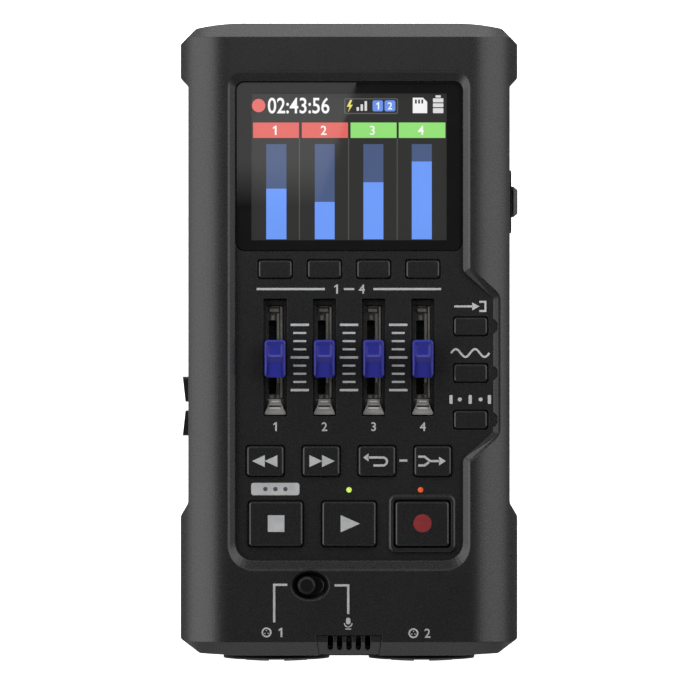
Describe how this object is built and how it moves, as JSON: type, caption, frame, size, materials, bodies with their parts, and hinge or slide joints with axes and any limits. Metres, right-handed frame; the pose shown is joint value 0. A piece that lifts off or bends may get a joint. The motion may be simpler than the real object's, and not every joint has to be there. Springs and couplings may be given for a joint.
{
  "type": "digital multitrack recorder",
  "caption": "Handheld digital multitrack recorder: charcoal case with corner bumpers, colour screen, blue level faders, rows of track and transport keys, and combination jacks in the lower end",
  "frame": {"origin": "middle of the overall box, on the plane of the rubber feet", "axes": "+X to the right of the panel, +Y to the display end, +Z out of the panel"},
  "size_m": [0.0843, 0.1597, 0.0441],
  "materials": {
    "case_plastic": "fine grain, charcoal",
    "panel_plastic": "satin, near black",
    "key_plastic": "satin, near black",
    "cap_plastic": "semi gloss, deep blue",
    "switch_plastic": "satin, black",
    "window_plastic": "polished, smoked",
    "screen": "lit colour screen",
    "pale_plastic": "as moulded, ivory",
    "steel": "bright tin plate",
    "screw_steel": "zinc, dark",
    "green_light": "lit, yellow green",
    "red_light": "clear lens, orange red",
    "jack_plastic": "glass filled, black",
    "board_laminate": "solder mask, green",
    "cell_wrap": "shrink sleeve, copper",
    "foot_rubber": "matt, black"
  },
  "bodies": {
    "case": {"front_case": "case_plastic", "back_case": "case_plastic", "mic_grille": "case_plastic", "control_panel": "panel_plastic", "power_switch_plate": "switch_plastic", "switch_bodies": "switch_plastic", "mini_jacks": "switch_plastic", "display_window": "window_plastic", "lcd_panel": "screen", "lcd_frame": "pale_plastic", "board_connector": "pale_plastic", "key_switches": "pale_plastic", "fader_frames": "steel", "usb_port": "steel", "card_socket": "steel", "battery_contacts": "steel", "mic_capsule": "steel", "case_screws": "screw_steel", "board_screws": "screw_steel", "play_light": "green_light", "record_light": "red_light", "input_jack_a_shell": "jack_plastic", "input_jack_b_shell": "jack_plastic", "input_jack_a_core": "jack_plastic", "input_jack_b_core": "jack_plastic", "memory_card": "jack_plastic", "key_board": "board_laminate", "main_board": "board_laminate", "jack_board": "board_laminate", "battery_cells": "cell_wrap", "rubber_feet": "foot_rubber"},
    "track_key_1": {"track_key_1": "key_plastic"},
    "track_key_2": {"track_key_2": "key_plastic"},
    "track_key_3": {"track_key_3": "key_plastic"},
    "track_key_4": {"track_key_4": "key_plastic"},
    "input_key": {"input_key": "key_plastic"},
    "effect_key": {"effect_key": "key_plastic"},
    "rhythm_key": {"rhythm_key": "key_plastic"},
    "rewind_key": {"rewind_key": "key_plastic"},
    "forward_key": {"forward_key": "key_plastic"},
    "undo_key": {"undo_key": "key_plastic"},
    "bounce_key": {"bounce_key": "key_plastic"},
    "stop_key": {"stop_key": "key_plastic"},
    "play_key": {"play_key": "key_plastic"},
    "record_key": {"record_key": "key_plastic"},
    "fader_1": {"fader_cap_1": "cap_plastic", "fader_lever_1": "steel"},
    "fader_2": {"fader_cap_2": "cap_plastic", "fader_lever_2": "steel"},
    "fader_3": {"fader_cap_3": "cap_plastic", "fader_lever_3": "steel"},
    "fader_4": {"fader_cap_4": "cap_plastic", "fader_lever_4": "steel"},
    "source_switch_knob": {"source_switch_knob": "switch_plastic"},
    "power_switch_knob": {"power_switch_knob": "switch_plastic"},
    "volume_up_key": {"volume_up_key": "key_plastic"},
    "volume_down_key": {"volume_down_key": "key_plastic"},
    "battery_cover": {"battery_cover": "case_plastic"},
    "card_door": {"card_door": "case_plastic"}
  },
  "joints": [
    {"name": "track_key_1_slide", "type": "slide", "parent": "case", "child": "track_key_1", "axis": [0, 0, -1], "range_m": [0, 0.0006], "stiffness_N_per_m": 900},
    {"name": "track_key_2_slide", "type": "slide", "parent": "case", "child": "track_key_2", "axis": [0, 0, -1], "range_m": [0, 0.0006], "stiffness_N_per_m": 900},
    {"name": "track_key_3_slide", "type": "slide", "parent": "case", "child": "track_key_3", "axis": [0, 0, -1], "range_m": [0, 0.0006], "stiffness_N_per_m": 900},
    {"name": "track_key_4_slide", "type": "slide", "parent": "case", "child": "track_key_4", "axis": [0, 0, -1], "range_m": [0, 0.0006], "stiffness_N_per_m": 900},
    {"name": "input_key_slide", "type": "slide", "parent": "case", "child": "input_key", "axis": [0, 0, -1], "range_m": [0, 0.0006], "stiffness_N_per_m": 900},
    {"name": "effect_key_slide", "type": "slide", "parent": "case", "child": "effect_key", "axis": [0, 0, -1], "range_m": [0, 0.0006], "stiffness_N_per_m": 900},
    {"name": "rhythm_key_slide", "type": "slide", "parent": "case", "child": "rhythm_key", "axis": [0, 0, -1], "range_m": [0, 0.0006], "stiffness_N_per_m": 900},
    {"name": "rewind_key_slide", "type": "slide", "parent": "case", "child": "rewind_key", "axis": [0, 0, -1], "range_m": [0, 0.0006], "stiffness_N_per_m": 900},
    {"name": "forward_key_slide", "type": "slide", "parent": "case", "child": "forward_key", "axis": [0, 0, -1], "range_m": [0, 0.0006], "stiffness_N_per_m": 900},
    {"name": "undo_key_slide", "type": "slide", "parent": "case", "child": "undo_key", "axis": [0, 0, -1], "range_m": [0, 0.0006], "stiffness_N_per_m": 900},
    {"name": "bounce_key_slide", "type": "slide", "parent": "case", "child": "bounce_key", "axis": [0, 0, -1], "range_m": [0, 0.0006], "stiffness_N_per_m": 900},
    {"name": "stop_key_slide", "type": "slide", "parent": "case", "child": "stop_key", "axis": [0, 0, -1], "range_m": [0, 0.0006], "stiffness_N_per_m": 900},
    {"name": "play_key_slide", "type": "slide", "parent": "case", "child": "play_key", "axis": [0, 0, -1], "range_m": [0, 0.0006], "stiffness_N_per_m": 900},
    {"name": "record_key_slide", "type": "slide", "parent": "case", "child": "record_key", "axis": [0, 0, -1], "range_m": [0, 0.0006], "stiffness_N_per_m": 900},
    {"name": "fader_1_slide", "type": "slide", "parent": "case", "child": "fader_1", "axis": [0, 1, 0], "range_m": [-0.0082, 0.0082]},
    {"name": "fader_2_slide", "type": "slide", "parent": "case", "child": "fader_2", "axis": [0, 1, 0], "range_m": [-0.0082, 0.0082]},
    {"name": "fader_3_slide", "type": "slide", "parent": "case", "child": "fader_3", "axis": [0, 1, 0], "range_m": [-0.0082, 0.0082]},
    {"name": "fader_4_slide", "type": "slide", "parent": "case", "child": "fader_4", "axis": [0, 1, 0], "range_m": [-0.0082, 0.0082]},
    {"name": "source_switch_knob_slide", "type": "slide", "parent": "case", "child": "source_switch_knob", "axis": [1, 0, 0], "range_m": [0, 0.0018]},
    {"name": "power_switch_knob_slide", "type": "slide", "parent": "case", "child": "power_switch_knob", "axis": [0, 1, 0], "range_m": [-0.002, 0.002]},
    {"name": "volume_up_key_slide", "type": "slide", "parent": "case", "child": "volume_up_key", "axis": [1, 0, 0], "range_m": [0, 0.0005], "stiffness_N_per_m": 900},
    {"name": "volume_down_key_slide", "type": "slide", "parent": "case", "child": "volume_down_key", "axis": [1, 0, 0], "range_m": [0, 0.0005], "stiffness_N_per_m": 900},
    {"name": "battery_cover_hinge", "type": "hinge", "parent": "case", "child": "battery_cover", "pos_m": [0, 0.01337, 0.00198], "axis": [1, 0, 0], "range_deg": [0, 80]},
    {"name": "card_door_hinge", "type": "hinge", "parent": "case", "child": "card_door", "pos_m": [0.0396, -0.01895, 0.0203], "axis": [0, 1, 0], "range_deg": [0, 85]}
  ]
}
